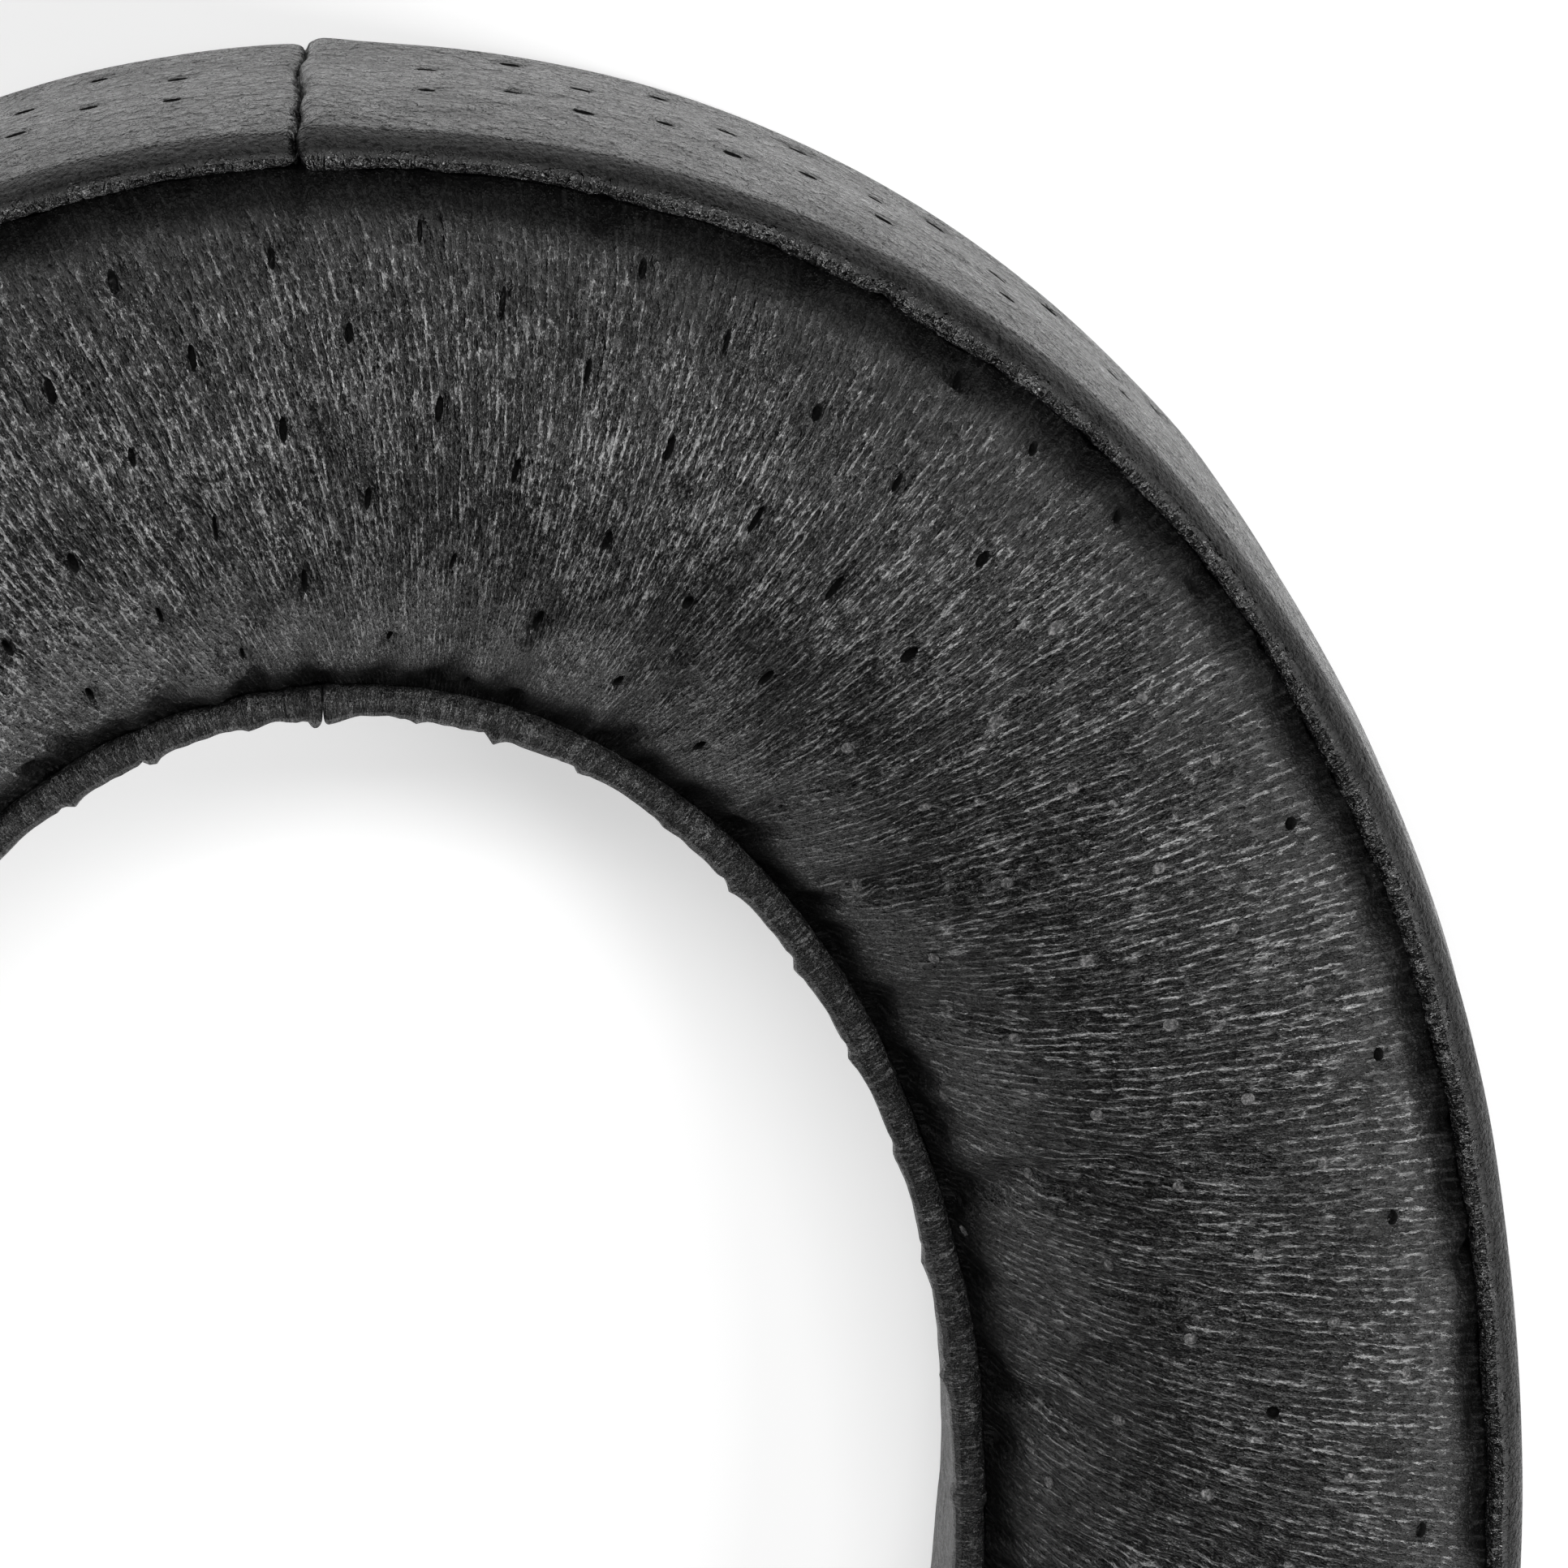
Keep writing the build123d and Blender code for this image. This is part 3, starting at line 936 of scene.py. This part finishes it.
def leather(name, crests, folds, wrinkles, dashes, grains, black_to_glint, gloss, relief, shine):
    """Fine black sheepskin: glossy crests, drawn out one way and broken into dashes, over dull creases.

    crests is how many crests run across it in one turn of the ring, or 0 where it has pebbles. folds,
    wrinkles, dashes and grains scale the leather's coordinates, from coarse to fine. tone and gloss go
    from crease to crest: the colour climbs from the black leather to painted glints on the crests, which
    stand in for the lamps' reflections in them. relief is the height of the crests in metres. On a bead or
    rim, where edge is 1, short ridges across it take the crests' place, painted glints and all. Leather
    pulled taut beside a seam has hardly any, and so hardly any painted glints.
    1, short ridges across it take the crests' place. Leather pulled taut beside a seam has hardly any.
    """
    m = Recipe(name)
    wander = 9.0  # how far the crests stray from even spacing, in radians
    edge = m.add("Attribute", output="Fac", attribute_name="edge")
    taut = m.add("Attribute", output="Fac", attribute_name="taut")
    loose = m.math("SUBTRACT", 1.0, m.times(taut, 0.9))
    x, y, across = m.split(m.strip((1 / OVAL_X, 1 / OVAL_Y, 1)))

    def ridges(scale):
        line = m.noise(m.strip(scale), detail=1.0, roughness=0.4, distortion=0.3)
        line = m.size(m.math("SUBTRACT", line, 0.5))
        return m.spread(line, 0.0, 0.12, 1.0, 0.0, "SMOOTHSTEP")

    def parallel():
        turn = m.math("ARCTAN2", y, x)
        drift = m.times(m.noise(m.strip((0.8, 0.8, 0.32))), wander)
        wave = m.math("SINE", m.plus(m.times(turn, crests), drift))
        return m.spread(wave, 0.0, 1.0, 0.0, 1.0, "SMOOTHSTEP")

    fold = m.spread(m.noise(m.strip(folds), detail=1.5), 0.36, 0.64, 0.0, 1.0, "SMOOTHSTEP")
    broken = m.spread(m.noise(m.strip(dashes), detail=2.0, roughness=0.65), 0.40, 0.60, 0.0, 1.0)
    if crests:
        ridge = m.math("MAXIMUM", parallel(), m.times(ridges(wrinkles), 0.55))
    else:
        pebbles = m.cells(m.strip(wrinkles), feature="SMOOTH_F1")
        ridge = m.spread(pebbles, 0.15, 0.7, 1.0, 0.0, "SMOOTHSTEP")
        broken = m.spread(broken, 0.0, 1.0, 0.4, 1.0)
    ridge = m.mix(ridge, ridges((4.2, 4.2, 0.9)), edge)
    patches = m.noise(m.strip((0.22, 0.22, 0.26)), detail=2.0)
    grain_and_glints = m.noise(m.strip(grains), detail=2.0, roughness=0.7)
    grain_and_glints = m.spread(grain_and_glints, 0.46, 0.68, 0.0, 1.0, "SMOOTHSTEP")
    # the leather is less drawn out at the pad's ends, so there its grain speckle carries more painted glints
    at_end = m.spread(m.size(y), 0.5, 0.93, 0.0, 1.0)
    ends = m.spread(at_end, 0.0, 1.0, 0.15, 0.7)
    # painted shade beside the outer seam at the pad's ends, where the glints are dimmed; pebbled leather has
    # none
    seam_shade = m.times(at_end, m.spread(across, 1.0, 11.0, 0.6 if crests else 0.0, 0.0))
    # painted glints on the crests, broken into dashes and strongest on the grain speckle
    crest = m.times(m.times(ridge, broken), m.spread(grain_and_glints, 0.0, 1.0, 0.8, 1.7))
    light = m.plus(crest, m.times(grain_and_glints, ends))
    # painted shade in the fold valleys: the glints are dimmed there and brightened on the folds' tops
    light = m.times(light, m.spread(fold, 0.0, 1.0, 0.55, 1.15))
    light = m.times(light, m.spread(patches, 0.34, 0.62, 0.65, 1.1))
    light = m.times(m.times(light, loose), m.math("SUBTRACT", 1.0, seam_shade))
    grain = m.cells(m.strip((5.5, 5.5, 4.2)), feature="SMOOTH_F1")
    deep = m.bump(m.times(fold, loose), relief)
    coarse = m.bump(m.times(m.plus(ridge, broken), loose), relief, before=deep)
    fine = m.bump(m.plus(m.times(grain, 0.6), grain_and_glints), relief * 0.6, before=coarse)
    low, high = black_to_glint
    # painted glints: the colour goes from the black leather in the creases to a light grey on the crests
    colour = m.ramp(light, (0.0, low), (0.35, high * 0.22), (1.0, high))
    dull, bright = gloss
    rough = m.spread(light, 0.0, 0.8, dull, bright)
    m.tree.links.new(m.spread(taut, 0.0, 1.0, shine, shine * 0.25), m.shader.inputs["Specular IOR Level"])
    return m.finish(colour, rough, fine)


def pit_leather(name):
    """The raw cut of a perforation's side: fibrous and without shine."""
    m = Recipe(name)
    fibres = m.noise(m.object_space(9000), detail=3.0)
    colour = m.ramp(fibres, (0.3, 0.002), (0.75, 0.009))
    return m.finish(
        colour, m.spread(fibres, 0.2, 0.8, 0.8, 0.95), m.bump(fibres, 0.0001), Specular_IOR_Level=0.1
    )


def foam_plug(name):
    """Foam and lint that show at the bottom of a perforation."""
    m = Recipe(name)
    lint = m.noise(m.object_space(7000), detail=3.0, roughness=0.7)
    colour = m.ramp(lint, (0.3, 0.02), (0.5, 0.12), (0.7, (0.34, 0.33, 0.33)))
    return m.finish(
        colour, m.spread(lint, 0.2, 0.8, 0.7, 0.95), m.bump(lint, 0.0002), Specular_IOR_Level=0.2
    )


def leatherette(name):
    """Thin coated cloth with a moulded pebble grain."""
    m = Recipe(name)
    pebbles = m.cells(m.object_space(1500), feature="SMOOTH_F1")
    fine = m.noise(m.object_space(5200), detail=2.0)
    patches = m.noise(m.object_space(160), detail=2.0)
    colour = m.ramp(patches, (0.3, 0.012), (0.7, (0.022, 0.022, 0.023)))
    bump = m.bump(m.plus(pebbles, m.times(fine, 0.3)), 0.00012, strength=0.8)
    return m.finish(colour, m.spread(fine, 0.3, 0.7, 0.42, 0.6), bump, Specular_IOR_Level=0.5)


def knit(name):
    """Fine warp-knit backing cloth: rows of small loops."""
    m = Recipe(name)
    x, y, _ = m.split(m.add("TexCoord", output="Object"))
    across = m.math("SINE", m.times(x, 2 * math.pi / 0.0007))
    along = m.math("SINE", m.times(y, 2 * math.pi / 0.0005))
    loops = m.times(m.size(across), m.size(along))
    fuzz = m.noise(m.object_space(4000), detail=3.0)
    weave = m.plus(loops, m.times(fuzz, 0.35))
    colour = m.ramp(weave, (0.1, 0.004), (0.9, (0.035, 0.035, 0.036)))
    return m.finish(
        colour, m.spread(fuzz, 0.2, 0.8, 0.75, 0.95), m.bump(weave, 0.00025), Sheen_Weight=0.3,
        Specular_IOR_Level=0.2,
    )


def memory_foam(name):
    """Charcoal polyurethane foam with open cells."""
    m = Recipe(name)
    cells = m.cells(m.object_space(2200))
    patches = m.noise(m.object_space(300), detail=3.0)
    colour = m.ramp(
        m.plus(m.times(cells, 0.6), m.times(patches, 0.4)),
        (0.15, 0.02), (0.75, (0.09, 0.09, 0.092)),
    )
    return m.finish(
        colour, m.spread(patches, 0.2, 0.8, 0.85, 0.98), m.bump(cells, 0.0003), Specular_IOR_Level=0.2
    )


def sewing_thread(name):
    """Bonded polyester thread: plies that wind round each stitch."""
    m = Recipe(name)
    plies = m.math("SINE", m.times(m.noise(m.object_space(2500), detail=0.0), 40.0))
    fuzz = m.noise(m.object_space(12000), detail=2.0)
    colour = m.ramp(
        m.plus(m.times(plies, 0.25), fuzz),
        (0.2, 0.006), (0.9, (0.03, 0.03, 0.031)),
    )
    return m.finish(
        colour, m.spread(fuzz, 0.2, 0.8, 0.45, 0.7), m.bump(plies, 0.00008), Specular_IOR_Level=0.4
    )


# ------------ stage, light and camera

def glowing_paper(name, scale, detail, tones, dullness, emission):
    """Pale paper, lit a little from within so that it comes out white."""
    m = Recipe(name)
    mottle = m.noise(m.object_space(scale), detail=detail)
    colour = m.ramp(mottle, (0.3, tones[0]), (0.7, tones[1]))
    m.shader.inputs["Emission Color"].default_value = (1, 1, 1, 1)
    dull = m.spread(mottle, 0.2, 0.8, dullness, 0.95)
    return m.finish(colour, dull, m.bump(mottle, 0.0002), Emission_Strength=emission)


def pale_floor():
    """White paper just below the pad."""
    half = 3.0
    corners = [(-half, -half, 0), (half, -half, 0), (half, half, 0), (-half, half, 0)]
    floor = link_mesh("floor", corners, [(0, 1, 2, 3)])
    floor.data.materials.append(glowing_paper("pale_paper", 9, 2.0, (0.60, 0.62), 0.85, emission=0.45))
    floor.location.z = -0.0002


def pale_backdrop():
    """A plain cylinder far behind everything, for views from the side. It neither lights nor reflects."""
    radius, height, sides = 2.9, 4.0, 96
    points, faces = [], []
    for k in range(sides):
        turn = 2 * math.pi * k / sides
        x, y = radius * math.cos(turn), radius * math.sin(turn)
        points += [(x, y, -0.01), (x, y, height)]
        a, b = 2 * k, 2 * ((k + 1) % sides)
        faces.append((a, b, b + 1, a + 1))
    backdrop = link_mesh("backdrop", points, faces)
    backdrop.data.materials.append(glowing_paper("pale_backdrop", 0.6, 1.0, (0.5, 0.52), 0.9, emission=0.5))
    for ray in ("diffuse", "glossy", "shadow", "transmission"):
        setattr(backdrop, "visible_" + ray, False)


def soft_box(name, direction, distance, size, radiance):
    """A rectangular area light of the given radiance, aimed at the pad from direction."""
    toward = Vector(direction).normalized()
    data = bpy.data.lights.new(name, "AREA")
    data.shape = "RECTANGLE"
    data.size, data.size_y = size
    data.energy = radiance * math.pi * size[0] * size[1]
    light = bpy.data.objects.new(name, data)
    light.location = Vector((0, 0, 0.02)) + toward * distance
    light.rotation_euler = toward.to_track_quat("Z", "Y").to_euler()
    bpy.context.scene.collection.objects.link(light)


def surroundings(low, high):
    """A dim studio, whose light goes from low near the floor to high overhead."""
    world = bpy.data.worlds.new("studio")
    bpy.context.scene.world = world
    world.use_nodes = True
    tree = world.node_tree
    here = tree.nodes.new("ShaderNodeTexCoord").outputs["Generated"]
    split = tree.nodes.new("ShaderNodeSeparateXYZ")
    ramp = tree.nodes.new("ShaderNodeMapRange")
    ramp.inputs[1].default_value, ramp.inputs[2].default_value = 0.1, 0.55
    ramp.inputs[3].default_value, ramp.inputs[4].default_value = low, high
    back = tree.nodes["Background"]
    tree.links.new(here, split.inputs[0])
    tree.links.new(split.outputs[2], ramp.inputs[0])
    tree.links.new(ramp.outputs[0], back.inputs["Strength"])
    back.inputs["Color"].default_value = (1, 1, 1, 1)


def close_camera():
    """A long lens that looks down on one end of the pad, from a tilt off its axis toward heading."""
    tilt, heading, roll = (math.radians(angle) for angle in (16.1255, 95.6682, 1.3973))
    aim, distance = Vector((16.770, 30.183, 18.0)), 320
    aside = math.sin(tilt)
    back = Vector((aside * math.cos(heading), aside * math.sin(heading), math.cos(tilt)))
    right = Vector((math.sin(roll), math.cos(roll), 0)).cross(back).normalized()
    data = bpy.data.cameras.new("camera")
    data.lens = 201.77
    data.sensor_width = 36
    data.clip_start, data.clip_end = 0.01, 20
    camera = bpy.data.objects.new("camera", data)
    turn = Matrix((right, back.cross(right), back)).transposed().to_4x4()
    camera.matrix_world = Matrix.Translation((aim + distance * back) * MM) @ turn
    bpy.context.scene.collection.objects.link(camera)
    bpy.context.scene.camera = camera


# ------------ the pad

close_camera()
surroundings(low=0.12, high=0.09)
soft_box("side_box", (0.80, -0.16, 0.60), 0.75, (0.16, 0.5), 14.0)
soft_box("top_box", (0.02, 0.52, 0.85), 0.80, (0.6, 0.18), 13.0)
soft_box("overhead_box", (-0.08, -0.30, 0.95), 0.90, (0.35, 0.28), 6.5)
pale_floor()
pale_backdrop()
bpy.context.scene.view_settings.view_transform = "Standard"

pit = pit_leather("pit_leather")
plug = foam_plug("foam_plug")
face = leather(
    "face_sheepskin", crests=660, folds=(1.5, 1.5, 0.36), wrinkles=(3.0, 3.0, 0.8), dashes=(6.0, 6.0, 1.5),
    grains=(11.0, 11.0, 4.5), black_to_glint=(0.003, 0.36), gloss=(0.29, 0.15), relief=0.00014, shine=0.45,
)
wall = leather(
    "wall_sheepskin", crests=0, folds=(0.9, 0.9, 0.5), wrinkles=(3.0, 3.0, 2.0), dashes=(3.4, 3.4, 1.9),
    grains=(7.0, 7.0, 5.0), black_to_glint=(0.006, 0.15), gloss=(0.30, 0.19), relief=0.00024, shine=0.75,
)
lining = leather(
    "lining_sheepskin", crests=0, folds=(1.1, 1.1, 1.1), wrinkles=(2.6, 2.6, 2.6), dashes=(5.5, 5.5, 5.5),
    grains=(9.0, 9.0, 9.0), black_to_glint=(0.008, 0.16), gloss=(0.40, 0.24), relief=0.00014, shine=0.6,
)
thread = sewing_thread("sewing_thread")

face_panel([face, pit, plug])
outer_band([wall, pit, plug])
inner_band([lining, pit, plug])
mounting_lip(leatherette("lip_leatherette"))
back_panel(knit("knit_backing"))
foam_core(memory_foam("memory_foam"))

seams = {
    "outer_seam": ring_stitches(WALL_TOP - LEATHER, 14.0, 0.75, pitch=2.9, share=0.7, dive=-0.25),
    "inner_seam": ring_stitches(INNER_SEAM + 0.35, 9.8, 0.75, pitch=2.9, share=0.7, dive=-0.25),
    "base_seam": ring_stitches(WALL_BASE - 1.2, 0.12, 0.0, pitch=2.6, share=0.72, dive=0.3),
    "back_seam": ring_stitches(OPENING + LINING + 1.2, TURN_Z - 0.02, 0.0, pitch=2.6, share=0.72, dive=0.3),
    "outer_butt": butt_stitches(WALL_BASE - LEATHER - 0.2, z_low=3.0, z_high=14.5),
    "inner_butt": butt_stitches(OPENING + LINING + 0.2, z_low=3.0, z_high=10.0),
}
for seam, stitches in seams.items():
    sew(seam + "_stitches", seam + "_thread", thread, stitches)
